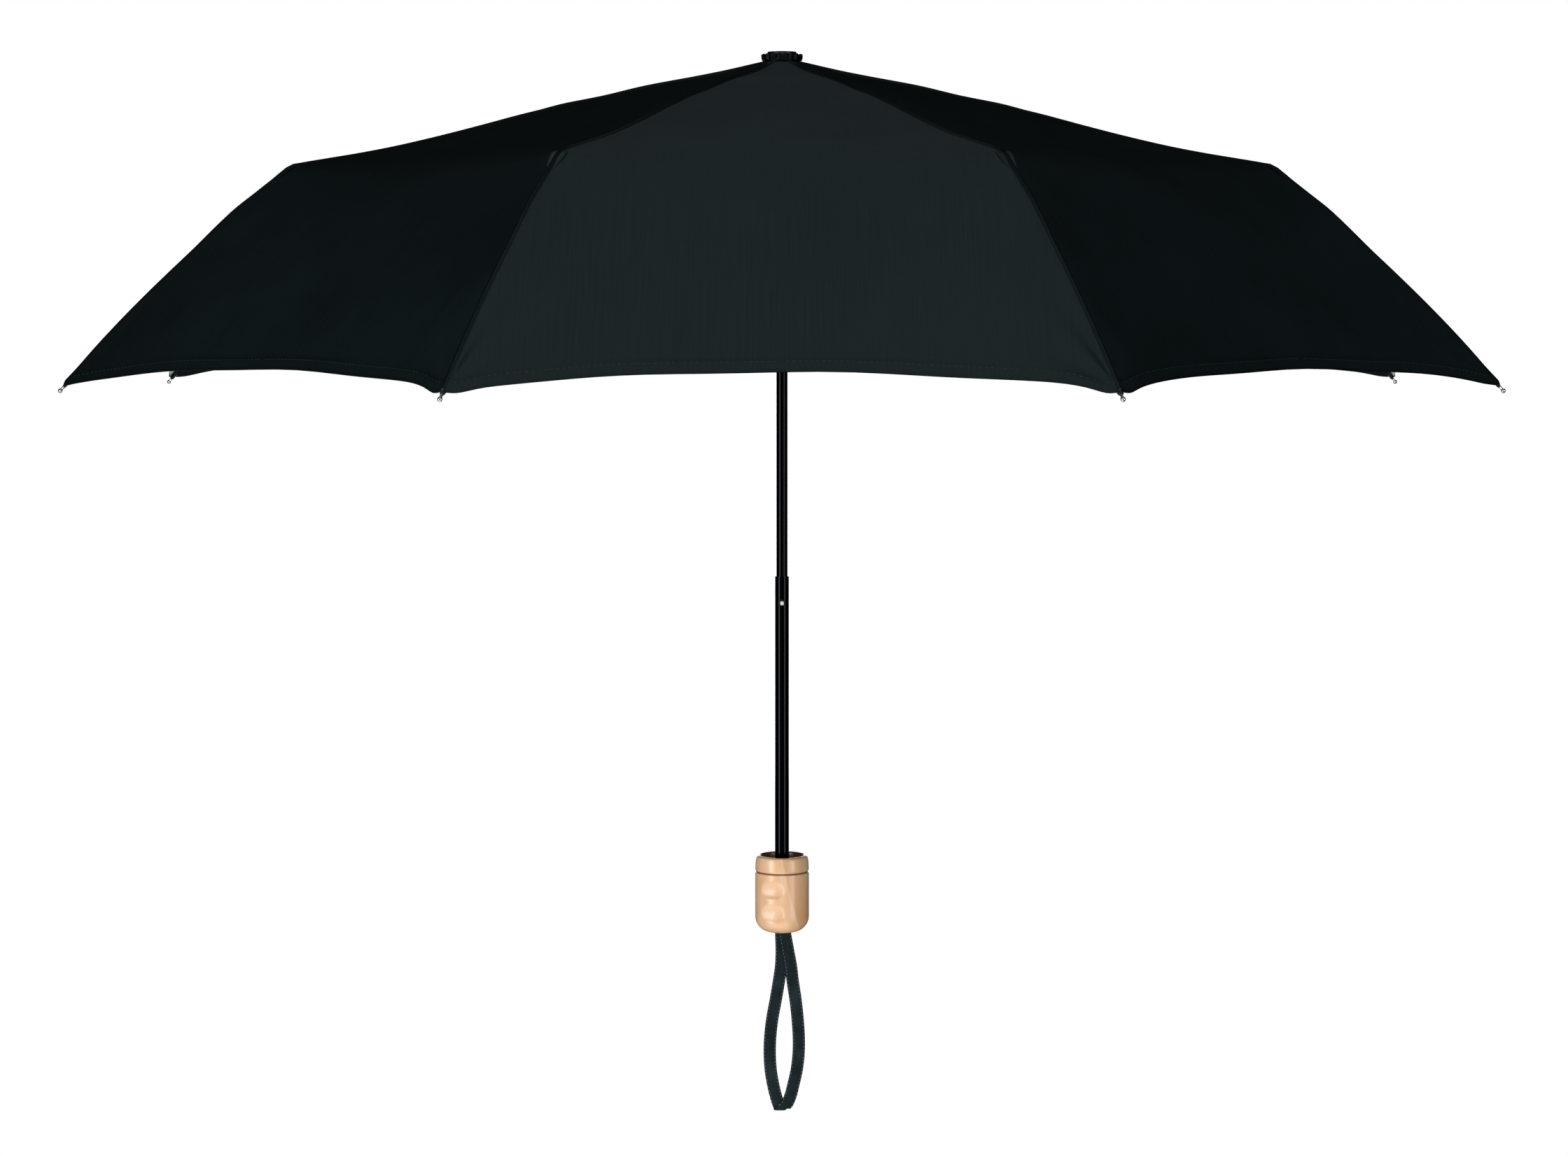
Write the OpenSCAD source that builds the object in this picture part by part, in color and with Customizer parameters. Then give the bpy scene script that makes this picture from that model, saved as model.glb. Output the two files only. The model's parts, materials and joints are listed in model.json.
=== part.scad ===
// Three-fold umbrella with an eight-rib frame, a telescopic shaft and a turned wooden handle.
// Lengths are in millimetres. The origin is the centre of the handle grip, on the shaft's axis.
// +Z runs up the shaft and -Y is the front, which a canopy panel faces.

/* [Handle] */
// Outer diameter of the wooden handle
handle_d = 34.8; // [30:0.2:40]
// Height of the wooden handle
handle_h = 50; // [44:1:60]
// Diameter of the cup in the handle's top, which takes the closed rib tips
cup_d = 27.4; // [26:0.2:28]
// Depth of that cup
cup_depth = 18; // [12:1:22]
// Distance from the rim down to the turned groove
groove_drop = 10.5; // [8:0.5:13]
// Radius of the rounded bottom edge
handle_edge = 10; // [6:1:12]

/* [Shaft] */
// Outer diameter of the lower tube
lower_d = 9; // [8.8:0.1:9.2]
// Outer diameter of the middle tube
middle_d = 7.3; // [7.2:0.1:7.4]
// Outer diameter of the upper tube
upper_d = 5.6; // [5.5:0.1:5.7]
// Wall thickness of all three tubes
wall = 0.4; // [0.3:0.05:0.4]
// Height of the lower tube's mouth above the grip's centre
lower_top = 206; // [200:1:210]
// Height of the middle tube's mouth when it is pulled out
middle_top = 366; // [365:1:367]
// How far each of the two inner tubes slides in
tube_travel = 157; // [150:1:158]

/* [Ribs] */
// Number of ribs
ribs = 8; // [8]
// Radius of the ring on which the top ribs hang
crown_r = 8; // [8:0.1:8.2]
// Height of that ring when the umbrella is open
crown_z = 531; // [530:0.5:532]
// Radius of the joint between top rib and middle rib
knee_r = 162; // [160:1:164]
// Height of that joint
knee_z = 497; // [496:0.5:498]
// Radius of the joint between middle rib and end rib
elbow_r = 314; // [312:1:316]
// Height of that joint
elbow_z = 458.6; // [457:0.2:459]
// Radius of the bend in the end rib
bend_r = 360; // [358:1:362]
// Height of that bend
bend_z = 427.4; // [426:0.2:428]
// Radius of the rib tips
tip_r = 460; // [456:1:462]
// Height of the rib tips
tip_z = 328.3; // [326:0.5:332]
// Rise of the end rib's bow above its chord
bow = 2.2; // [1.8:0.2:3]
// Distance from the crown ring to the stretcher's pivot, along the top rib
strut_at = 85; // [84:0.5:86]
// Height of the runner's wire when the umbrella is open
runner_z = 479; // [478:0.5:480]

/* [Canopy] */
// Thickness of the canopy cloth's solid
cloth = 0.5; // [0.4:0.1:0.6]
// Height of the hem's arch between two tips
hem_rise = 9; // [6:1:12]

/* [Wrist strap] */
// Width of the webbing
strap_w = 8; // [7:0.5:9]
// Thickness of the webbing
strap_t = 1.3; // [1:0.1:1.4]

/* [Hidden] */
$fn = 32;
eps = 0.01;

// Tubes, cut-outs and catches
handle_bottom = -handle_h / 2;
rim_z = handle_h / 2;
cup_floor = rim_z - cup_depth;
lower_bottom = -15;
middle_bottom = lower_top - 24;
upper_bottom = middle_top - 22;
upper_top = crown_z;
flare_gap = 0.05;
mouth_len = 3;
window_w = 2.6;
window_h = 5;
lower_catch_z = lower_top - 17.5;
upper_catch_z = middle_top - 15;

// Rib sections, in a rib's own frame: X along the rib, Y across it, Z towards the cloth
rib_w = 3.2;
rib_top = 1.7;
rib_low = -1.1;
rib_wall = 0.4;
tab_w = 2.2;
eye_w = 1.6;
knee_up = 1.9;
elbow_up = -0.2;
pin_r = 0.6;
pin_fit = 0.05;
head_r = 1;
head_t = 0.35;
wire_r = 0.9;
crown_wire_r = 0.45;

// Runner and stretchers
strut_up = -0.4;
strut_w = 2;
strut_pin_r = 0.45;
hook_r = 6.6;
runner_wire_r = 0.35;
runner_bore_r = lower_d / 2 + 0.25;
runner_ring_r = 8.8;
sleeve_r = 5.9;
slot_floor_r = 5.25;
slot_w = 2.4;

// Pivots in a rib's plane, as [radius, height]
crown_pin = [crown_r, crown_z];
knee_pin = [knee_r, knee_z];
elbow_pin = [elbow_r, elbow_z];
bend_pt = [bend_r, bend_z];
tip_pt = [tip_r, tip_z];

function turn(v, a) = [v[0] * cos(a) - v[1] * sin(a), v[0] * sin(a) + v[1] * cos(a)];
function heading(a, b) = atan2(b[1] - a[1], b[0] - a[0]);

// The channels lie beside the lines between their pins, by the pins' offsets
top_len = sqrt(pow(norm(knee_pin - crown_pin), 2) - pow(knee_up, 2));
top_dir = heading(crown_pin, knee_pin) - asin(knee_up / norm(knee_pin - crown_pin));
mid_drop = knee_up - elbow_up;
mid_len = sqrt(pow(norm(elbow_pin - knee_pin), 2) - pow(mid_drop, 2));
mid_dir = heading(knee_pin, elbow_pin) + asin(mid_drop / norm(elbow_pin - knee_pin));
mid_origin = knee_pin - turn([0, knee_up], mid_dir);
strut_pin = crown_pin + turn([strut_at, strut_up], top_dir);
runner_pin = [hook_r, runner_z];
strut_line = norm(strut_pin - runner_pin);

// With the umbrella closed the stretcher hangs plumb, its hook nearer the shaft by this much
hook_in = crown_r + strut_up - hook_r;
strut_len = sqrt(pow(strut_line, 2) - pow(hook_in, 2));
strut_dir = heading(strut_pin, runner_pin) + asin(hook_in / strut_line);

// The end rib's bow is an arc from the bend to the tip
bow_chord = norm(tip_pt - bend_pt);
bow_r = (pow(bow_chord, 2) / 4 + pow(bow, 2)) / (2 * bow);
bow_half = asin(bow_chord / 2 / bow_r);
bow_dir = heading(bend_pt, tip_pt);
tip_cover = 9;
wire_gap = 7;

first_rib = -67.5;
function rib_azimuth(i) = first_rib + i * 360 / ribs;

// Cloth over a rib, from the crown to the tip, as [radius, height] of its outer face
cloth_line = [[3, 534.1], [13, 534.1], [92, 517.5], [knee_r, 499.6], [224, 483.2], [290, 467.7],
    [elbow_r, 463.2], [361, 429.6], [398, 395.4], [431, 362.6], [457, 335]];
cloth_steps = 4;

// Middle line of the wrist strap's loop, as [across, height], down one side and up the other
strap_down = [[-1, -19], [-0.5, -28], [-0.2, -38], [-0.6, -48], [-2, -58], [-4, -70], [-6.2, -82],
    [-7.6, -94], [-8, -105], [-7.4, -116], [-5.8, -126]];
strap_turn = [[-3.5, -133], [0.3, -137.4], [4.6, -133.5]];
strap_up = [[7.4, -126], [9.6, -116], [10.8, -105], [10.9, -94], [10.1, -82], [8.8, -70],
    [7, -58], [5.8, -48], [4, -38], [2.2, -28], [1, -19]];

// ---------- shared shapes ----------

// A cylinder on a height range
module post(r, z0, z1) {
    translate([0, 0, z0]) cylinder(h = z1 - z0, r = r);
}

// A box from one corner to the other
module span(a, b) {
    translate(a) cube(b - a);
}

// A cylinder across a rib, centred on the rib's middle plane
module cross(x, z, r, w) {
    translate([x, w / 2, z]) rotate([90, 0, 0]) cylinder(h = w, r = r);
}

// Ring of round wire about the shaft
module wire_ring(r, wire, z) {
    translate([0, 0, z]) rotate_extrude($fn = 64) translate([r, 0]) circle(r = wire, $fn = 24);
}

// Puts a rib's own frame at a point of its plane, heading at an angle above the horizontal
module in_rib(i, at, dir) {
    rotate([0, 0, rib_azimuth(i)]) translate([at[0], 0, at[1]]) rotate([0, -dir, 0]) children();
}

// Channel that opens away from the cloth
module channel(x0, x1, w, low, top) {
    difference() {
        span([x0, -w / 2, low], [x1, w / 2, top]);
        span([x0 - eps, -w / 2 + rib_wall, low - eps], [x1 + eps, w / 2 - rib_wall, top - rib_wall]);
    }
}

// Rivet through a channel's walls, with a head on each side
module rivet(x, z, r) {
    cross(x, z, r, rib_w);
    for (s = [-1, 1]) {
        translate([x, s * (rib_w + head_t) / 2, z]) rotate([90, 0, 0])
            cylinder(h = head_t, r = head_r, center = true);
    }
}

// The two side ears that carry a rivet past a channel's end
module ears(x, z, r, back) {
    for (s = [-1, 1]) {
        translate([0, s * (rib_w - rib_wall) / 2, 0]) {
            cross(x, z, r, rib_wall);
            span([x - back, -rib_wall / 2, rib_low], [x + r, rib_wall / 2, z]);
        }
    }
}

// ---------- handle and strap ----------

module handle_body() {
    groove = rim_z - groove_drop;
    r = handle_d / 2;
    n = 6;
    edge = [for (i = [0 : n]) let (a = 90 * i / n)
        [r - handle_edge + handle_edge * sin(a), handle_bottom + handle_edge - handle_edge * cos(a)]];
    collar = [[r, groove - 0.5], [r - 0.5, groove], [r - 0.2, groove + 0.5],
        [r - 0.5, rim_z - 2], [r - 1, rim_z - 0.5], [r - 2, rim_z], [0, rim_z]];
    seam = 36; // keeps the turned surface's seam clear of the dimples
    rotate([0, 0, seam]) rotate_extrude($fn = 96) polygon(concat([[0, handle_bottom]], edge, collar));
}

module handle() {
    finger_r = 13;
    finger_depth = 1.6;
    finger_turn = -113;
    slot = [strap_w + 3, 2 * strap_t + 0.9, 9];
    color("burlywood") difference() {
        handle_body();
        post(cup_d / 2, cup_floor, rim_z + 1, $fn = 64);
        post(lower_d / 2, lower_bottom, cup_floor + 1);
        translate([0, 0, handle_bottom + slot[2] / 2 - eps]) cube(slot, center = true);
        for (z = [-11.2, 3.5]) {
            rotate([0, 0, finger_turn])
                translate([handle_d / 2 + finger_r - finger_depth, 0, z]) sphere(r = finger_r);
        }
    }
}

// Points of a flat webbing strap along its middle line, eight to a ring
function strap_ring(p, dir, y) =
    let (side = [dir[1], -dir[0]], w = strap_w / 2, t = strap_t / 2)
    [for (c = [[-w, -t * 0.5], [-w * 0.95, -t], [w * 0.95, -t], [w, -t * 0.5],
               [w, t * 0.5], [w * 0.95, t], [-w * 0.95, t], [-w, t * 0.5]])
        [p[0] + side[0] * c[0], y + c[1], p[1] + side[1] * c[0]]];

module wrist_strap() {
    route = concat(strap_down, strap_turn, strap_up);
    n = len(route);
    last = n - 1;
    function along(i) = route[min(i + 1, last)] - route[max(i - 1, 0)];
    function layer(i) = 0.72 * (1 - 2 * i / last);
    points = [for (i = [0 : last])
        each strap_ring(route[i], along(i) / norm(along(i)), layer(i))];
    sides = [for (i = [0 : last - 1], j = [0 : 7])
        [8 * i + j, 8 * i + (j + 1) % 8, 8 * (i + 1) + (j + 1) % 8, 8 * (i + 1) + j]];
    ends = [[for (j = [7 : -1 : 0]) j], [for (j = [0 : 7]) 8 * last + j]];
    color("darkslategray") polyhedron(points = points, faces = concat(sides, ends));
}

// ---------- shaft ----------

// Tube with a rolled-in mouth at its top and a flared foot at its bottom
module tube(d, z0, z1, mouth_d, foot_d) {
    difference() {
        union() {
            post(d / 2, z0, z1);
            post(foot_d / 2, z0, z0 + mouth_len);
        }
        post(d / 2 - wall, z0 - 1, z1 - mouth_len);
        post(mouth_d / 2, z0 - 1, z1 + 1);
    }
}

// Window in a tube's front wall
module window(z) {
    span([-window_w / 2, -lower_d, z - window_h / 2], [window_w / 2, 0, z + window_h / 2]);
}

module lower_tube() {
    color([0.04, 0.04, 0.05]) difference() {
        tube(lower_d, lower_bottom, lower_top, middle_d + 2 * flare_gap, lower_d);
        window(lower_catch_z);
    }
}

module middle_tube() {
    foot = lower_d - 2 * wall - 2 * flare_gap;
    color([0.04, 0.04, 0.05]) difference() {
        tube(middle_d, middle_bottom, middle_top, upper_d + 2 * flare_gap, foot);
        window(lower_catch_z);
        window(upper_catch_z);
    }
}

module upper_tube() {
    foot = middle_d - 2 * wall - 2 * flare_gap;
    color([0.04, 0.04, 0.05]) difference() {
        union() {
            post(upper_d / 2, upper_bottom, upper_top);
            post(foot / 2, upper_bottom, upper_bottom + mouth_len);
        }
        post(upper_d / 2 - wall, upper_bottom - 1, upper_top + 1);
        window(upper_catch_z);
        window(runner_z - 18);
    }
}

// Leaf spring inside a tube, with a nose that stands out through the windows
module catch(z, leaf_y, leaf_w, nose_y) {
    nose_h = window_h - 0.6;
    leaf_t = 0.35;
    color("silver") {
        span([-leaf_w / 2, leaf_y, z - nose_h / 2], [leaf_w / 2, leaf_y + leaf_t, z + 16]);
        translate([-leaf_w / 2, 0, z]) rotate([90, 0, 90]) linear_extrude(leaf_w)
            polygon([[leaf_y + eps, nose_h / 2], [nose_y, nose_h / 2], [nose_y, nose_h / 2 - 0.8],
                [leaf_y + eps, -nose_h / 2]]);
    }
}

module lower_catch() {
    catch(lower_catch_z, -2.9, 2, -4.9);
}

module upper_catch() {
    catch(upper_catch_z, -2.15, 1.8, -4);
}

module runner_catch() {
    catch(runner_z - 18, -2.15, 1.8, -5.6);
}

// ---------- crown and cap ----------

module crown() {
    slot = eye_w + 0.4;
    core_r = crown_r - 1.8;
    neck_r = 4.2;
    half = 2;
    color([0.07, 0.07, 0.08]) difference() {
        union() {
            post(crown_r + 1.6, crown_z - half, crown_z + half);
            post(neck_r, crown_z - 7, crown_z - half);
        }
        for (i = [0 : ribs - 1]) {
            rotate([0, 0, rib_azimuth(i)])
                span([core_r, -slot / 2, crown_z - half - 1], [crown_r + 3, slot / 2, crown_z + half + 1]);
        }
        wire_ring(crown_r, crown_wire_r + pin_fit, crown_z);
        post(upper_d / 2, crown_z - 8, crown_z);
        post(1.6, crown_z - 1, crown_z + half + 1);
    }
}

module crown_wire() {
    color("silver") wire_ring(crown_r, crown_wire_r, crown_z);
}

module top_cap() {
    color([0.05, 0.05, 0.06]) {
        post(9.3, crown_z + 7.5, crown_z + 9.5, $fn = 64);
        post(1.5, crown_z + 0.3, crown_z + 7.6);
    }
}

module cap_rosette() {
    color([0.08, 0.09, 0.1]) difference() {
        post(13, crown_z + 3.4, crown_z + 7.4, $fn = 64);
        post(1.6, crown_z + 3, crown_z + 8);
    }
}

// ---------- frame ----------

module top_rib(i) {
    neck_end = 4.4;
    color([0.12, 0.12, 0.13]) in_rib(i, crown_pin, top_dir) {
        difference() {
            union() {
                cross(0, 0, 1.6, eye_w);
                span([0, -eye_w / 2, rib_low], [neck_end, eye_w / 2, rib_top - rib_wall]);
            }
            cross(0, 0, crown_wire_r + 2 * pin_fit, rib_w);
        }
        channel(3.2, top_len - 2.2, rib_w, rib_low, rib_top);
        ears(top_len, knee_up, 1.3, 3);
        rivet(top_len, knee_up, pin_r);
        cross(strut_at, strut_up, strut_pin_r, rib_w - rib_wall);
    }
}

module stretcher(i) {
    hook_end = strut_len + 1.1;
    hook_gap = runner_wire_r + 0.15;
    color([0.12, 0.12, 0.13]) in_rib(i, strut_pin, strut_dir) {
        difference() {
            union() {
                span([3, -strut_w / 2, -0.6], [strut_len - 4, strut_w / 2, 1.2]);
                span([0, -strut_w / 2, -0.6], [4, strut_w / 2, 0.8]);
                cross(0, 0, 0.8, strut_w);
            }
            span([5, -strut_w / 2 + rib_wall, -0.6 - eps], [strut_len - 6, strut_w / 2 - rib_wall, 0.8]);
            cross(0, 0, strut_pin_r + pin_fit, rib_w);
        }
        span([strut_len - 4 - eps, -eye_w / 2, hook_gap - hook_in], [hook_end, eye_w / 2, 1.2]);
        span([strut_len + hook_gap, -eye_w / 2, -hook_in - 0.3], [hook_end, eye_w / 2, hook_gap]);
    }
}

module mid_rib(i) {
    color([0.12, 0.12, 0.13]) in_rib(i, mid_origin, mid_dir) {
        difference() {
            union() {
                cross(0, knee_up, 1.1, tab_w);
                span([0, -tab_w / 2, 0.8], [5, tab_w / 2, rib_top - 0.2]);
            }
            cross(0, knee_up, pin_r + pin_fit, rib_w);
        }
        channel(2, mid_len - 1.4, rib_w, rib_low, rib_top);
        ears(mid_len, elbow_up, 1.4, 3);
        rivet(mid_len, elbow_up, pin_r);
    }
}

// Straight wire from the elbow to the bend, then a bowed wire to the tip
module end_rib(i) {
    dir = heading(elbow_pin, bend_pt);
    reach = norm(bend_pt - elbow_pin);
    turn_start = bow_dir + bow_half - dir;
    wire_sweep = 2 * bow_half - asin(wire_gap / bow_r);
    color([0.16, 0.16, 0.17]) in_rib(i, elbow_pin, dir) {
        difference() {
            union() {
                cross(0, 0, 1.1, tab_w);
                span([0, -tab_w / 2, -wire_r], [8, tab_w / 2, wire_r]);
            }
            cross(0, 0, pin_r + pin_fit, rib_w);
        }
        translate([7, 0, 0]) rotate([0, 90, 0]) cylinder(h = reach - 7, r = wire_r);
        translate([reach, 0, 0]) {
            sphere(r = wire_r);
            rotate([0, -turn_start, 0]) translate([0, 0, -bow_r]) rotate([-90, -90, 0])
                rotate_extrude(angle = wire_sweep, $fn = 180)
                    translate([bow_r, 0]) circle(r = wire_r, $fn = 24);
        }
    }
}

module rib_tip(i) {
    dir = bow_dir - bow_half;
    color("silver") in_rib(i, tip_pt, dir) {
        rotate([0, -90, 0]) {
            sphere(r = 1.4);
            post(0.8, 0.8, 6);
            difference() {
                post(wire_r + 0.55, 5.6, tip_cover + 3);
                post(wire_r + 0.2, wire_gap - 0.1, tip_cover + 4);
            }
        }
    }
}

module runner() {
    color([0.07, 0.07, 0.08]) difference() {
        union() {
            post(sleeve_r, runner_z - 13, runner_z + 9);
            post(runner_ring_r, runner_z - 3, runner_z + 3);
        }
        post(runner_bore_r, runner_z - 14, runner_z + 10);
        for (i = [0 : ribs - 1]) {
            rotate([0, 0, rib_azimuth(i)])
                span([slot_floor_r, -slot_w / 2, runner_z - 4.5], [runner_ring_r + 1, slot_w / 2, runner_z + 4.5]);
        }
        wire_ring(hook_r, runner_wire_r + pin_fit, runner_z);
    }
}

module runner_wire() {
    color("silver") wire_ring(hook_r, runner_wire_r, runner_z);
}

// ---------- cloth ----------

// A point of the canopy's outer face: s counts steps around from the first rib
function cloth_point(s, p, lift) =
    let (step = 360 / ribs,
        i = floor(s / cloth_steps),
        f = s / cloth_steps - i,
        a = rib_azimuth(i),
        q = [cos(a), sin(a)] * (1 - f) + [cos(a + step), sin(a + step)] * f)
    [q[0] * p[0], q[1] * p[0], p[1] + lift * 4 * f * (1 - f)];

module canopy() {
    n = ribs * cloth_steps;
    m = len(cloth_line);
    hem = cloth_line[m - 1];
    function lift(j) = j == m - 1 ? hem_rise : 0;
    outer = [for (j = [0 : m - 1], s = [0 : n - 1]) cloth_point(s, cloth_line[j], lift(j))];
    inner = [for (p = outer) p - [0, 0, cloth]];
    total = n * m;
    function ring(j, s) = j * n + s % n;
    function patch(j, s, base, flip) =
        let (a = base + ring(j, s), b = base + ring(j, s + 1),
            c = base + ring(j + 1, s + 1), d = base + ring(j + 1, s))
        flip ? [[a, b, c], [a, c, d]] : [[a, c, b], [a, d, c]];
    skins = [for (j = [0 : m - 2], s = [0 : n - 1], k = [0, 1]) each patch(j, s, k * total, k == 0)];
    rims = [for (s = [0 : n - 1]) each [
        [ring(0, s), total + ring(0, s), total + ring(0, s + 1)],
        [ring(0, s), total + ring(0, s + 1), ring(0, s + 1)],
        [ring(m - 1, s), ring(m - 1, s + 1), total + ring(m - 1, s + 1)],
        [ring(m - 1, s), total + ring(m - 1, s + 1), total + ring(m - 1, s)]]];
    color([0.09, 0.11, 0.12]) polyhedron(points = concat(outer, inner), faces = concat(skins, rims));
}

// Closing strap, laid along the hem on the outside of the back panel
module tie_band() {
    band = [96, 18, 0.7];
    low = cloth_line[len(cloth_line) - 2];
    high = cloth_line[len(cloth_line) - 3];
    inset = cos(180 / ribs);
    mid = (low + high) / 2;
    slope = atan2(high[1] - low[1], (low[0] - high[0]) * inset);
    color([0.07, 0.08, 0.09]) translate([0, mid[0] * inset, mid[1]]) rotate([-slope, 0, 0])
        translate([0, 0, 1.2 + band[2] / 2]) cube(band, center = true);
}

handle();
wrist_strap();
lower_tube();
middle_tube();
upper_tube();
lower_catch();
upper_catch();
runner_catch();
crown();
crown_wire();
top_cap();
cap_rosette();
runner();
runner_wire();
canopy();
tie_band();
for (i = [0 : ribs - 1]) {
    top_rib(i);
    stretcher(i);
    mid_rib(i);
    end_rib(i);
    rib_tip(i);
}
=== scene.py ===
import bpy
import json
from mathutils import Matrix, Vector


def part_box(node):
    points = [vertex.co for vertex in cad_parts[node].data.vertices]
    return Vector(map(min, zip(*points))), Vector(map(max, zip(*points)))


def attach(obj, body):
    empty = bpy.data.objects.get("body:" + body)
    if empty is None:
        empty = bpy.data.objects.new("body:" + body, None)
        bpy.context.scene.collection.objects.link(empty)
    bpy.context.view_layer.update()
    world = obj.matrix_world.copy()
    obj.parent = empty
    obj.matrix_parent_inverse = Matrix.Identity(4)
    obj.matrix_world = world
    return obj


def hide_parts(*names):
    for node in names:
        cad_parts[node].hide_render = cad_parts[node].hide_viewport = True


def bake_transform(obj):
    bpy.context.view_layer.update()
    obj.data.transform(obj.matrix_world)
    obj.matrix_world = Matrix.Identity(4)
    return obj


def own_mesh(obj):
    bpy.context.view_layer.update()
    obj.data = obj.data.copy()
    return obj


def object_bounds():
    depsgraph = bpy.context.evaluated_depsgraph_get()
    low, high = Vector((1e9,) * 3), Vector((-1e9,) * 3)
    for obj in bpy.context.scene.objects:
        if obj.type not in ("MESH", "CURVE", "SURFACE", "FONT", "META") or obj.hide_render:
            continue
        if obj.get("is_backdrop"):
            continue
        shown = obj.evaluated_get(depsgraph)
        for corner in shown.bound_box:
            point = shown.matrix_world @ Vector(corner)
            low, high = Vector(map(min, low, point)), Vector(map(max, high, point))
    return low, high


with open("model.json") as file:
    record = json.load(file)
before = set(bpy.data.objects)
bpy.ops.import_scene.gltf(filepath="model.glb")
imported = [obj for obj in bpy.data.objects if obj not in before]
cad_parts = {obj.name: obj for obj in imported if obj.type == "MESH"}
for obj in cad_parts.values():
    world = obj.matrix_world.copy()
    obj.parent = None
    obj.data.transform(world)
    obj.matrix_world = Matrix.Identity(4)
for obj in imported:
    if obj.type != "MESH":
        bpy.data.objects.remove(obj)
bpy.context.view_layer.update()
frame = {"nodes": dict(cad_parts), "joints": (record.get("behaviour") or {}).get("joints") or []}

import json
import math

import bpy
import numpy as np
from mathutils import Vector

MM = 0.001
UP = np.array([0.0, 0.0, 1.0])
rng = np.random.default_rng(7)

# ---------- camera ----------

camera_data = bpy.data.cameras.new("camera")
camera_data.lens = 77.3
camera_data.sensor_width = 36
camera = bpy.data.objects.new("camera", camera_data)
camera.location = (1.3 * MM, -2.162, 0.3635)
camera.rotation_euler = (math.radians(85.8), 0, 0)
bpy.context.scene.collection.objects.link(camera)
bpy.context.scene.camera = camera

# ---------- curves and meshes ----------


def through(points, steps=16):
    """Points of a smooth curve through the given ones."""
    p = np.array(points, float)
    p = np.vstack([2 * p[0] - p[1], p, 2 * p[-1] - p[-2]])
    t = np.linspace(0, 1, steps, endpoint=False)[:, None]
    spans = [
        0.5 * (2 * b + (c - a) * t + (2 * a - 5 * b + 4 * c - d) * t**2 + (3 * b - a - 3 * c + d) * t**3)
        for a, b, c, d in zip(p, p[1:], p[2:], p[3:])
    ]
    return np.vstack([*spans, p[-2:-1]])


def unit(v):
    """Vectors of length 1, along the last axis."""
    return v / np.linalg.norm(v, axis=-1, keepdims=True)


def smooth(x):
    """0 below 0, 1 above 1, and a soft step between."""
    x = np.clip(x, 0, 1)
    return x * x * (3 - 2 * x)


def bell(x):
    """1 at 0, falling to nothing on both sides."""
    return np.exp(-x * x)


def directions(angle):
    """The outward and the sideways direction, that far round the shaft."""
    x, y = math.cos(angle), math.sin(angle)
    return np.array([x, y, 0]), np.array([-y, x, 0])


def make_object(name, points, faces, material, normals=None, uv=None, marks=None):
    """A smooth-shaded mesh object. uv and marks hold one entry for each point."""
    mesh = bpy.data.meshes.new(name)
    mesh.from_pydata([tuple(p) for p in points], [], [tuple(int(i) for i in f) for f in faces])
    mesh.polygons.foreach_set("use_smooth", [True] * len(mesh.polygons))
    corner = np.zeros(len(mesh.loops), int)
    mesh.loops.foreach_get("vertex_index", corner)
    if uv is not None:
        mesh.uv_layers.new(name="cloth").data.foreach_set("uv", np.asarray(uv)[corner].ravel())
    for mark, values in (marks or {}).items():
        mesh.attributes.new(mark, "FLOAT", "POINT").data.foreach_set("value", np.asarray(values, np.float32))
    if normals is not None:
        mesh.normals_split_custom_set_from_vertices([tuple(n) for n in normals])
    mesh.materials.append(material)
    made = bpy.data.objects.new(name, mesh)
    bpy.context.scene.collection.objects.link(made)
    return made


def grid_faces(rows, cols):
    """Quads of a grid whose points are counted along its rows."""
    a = (np.arange(rows - 1)[:, None] * cols + np.arange(cols - 1)).ravel()
    return np.stack([a, a + cols, a + cols + 1, a + 1], axis=1)


def shell(name, outer, inner, material, flip=False, normals=None, uv=None, marks=None):
    """A closed thin sheet between two grids of points."""
    rows, cols = outer.shape[:2]
    total = rows * cols
    index = np.arange(total).reshape(rows, cols)
    rim = np.concatenate([index[0, :-1], index[:-1, -1], index[-1, :0:-1], index[:0:-1, 0]])
    after = np.roll(rim, -1)
    skin = grid_faces(rows, cols)
    edge = np.stack([rim, after, after + total, rim + total], axis=1)
    faces = np.concatenate([skin, skin[:, ::-1] + total, edge])
    if flip:
        faces = faces[:, ::-1]
    if normals is not None:
        flat = normals.reshape(-1, 3)
        normals = np.concatenate([flat, -flat])
    if uv is not None:
        uv = np.tile(uv.reshape(-1, 2), (2, 1))
    marks = {mark: np.tile(np.ravel(values), 2) for mark, values in (marks or {}).items()}
    points = np.concatenate([outer.reshape(-1, 3), inner.reshape(-1, 3)])
    return make_object(name, points, faces, material, normals, uv, marks)


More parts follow.
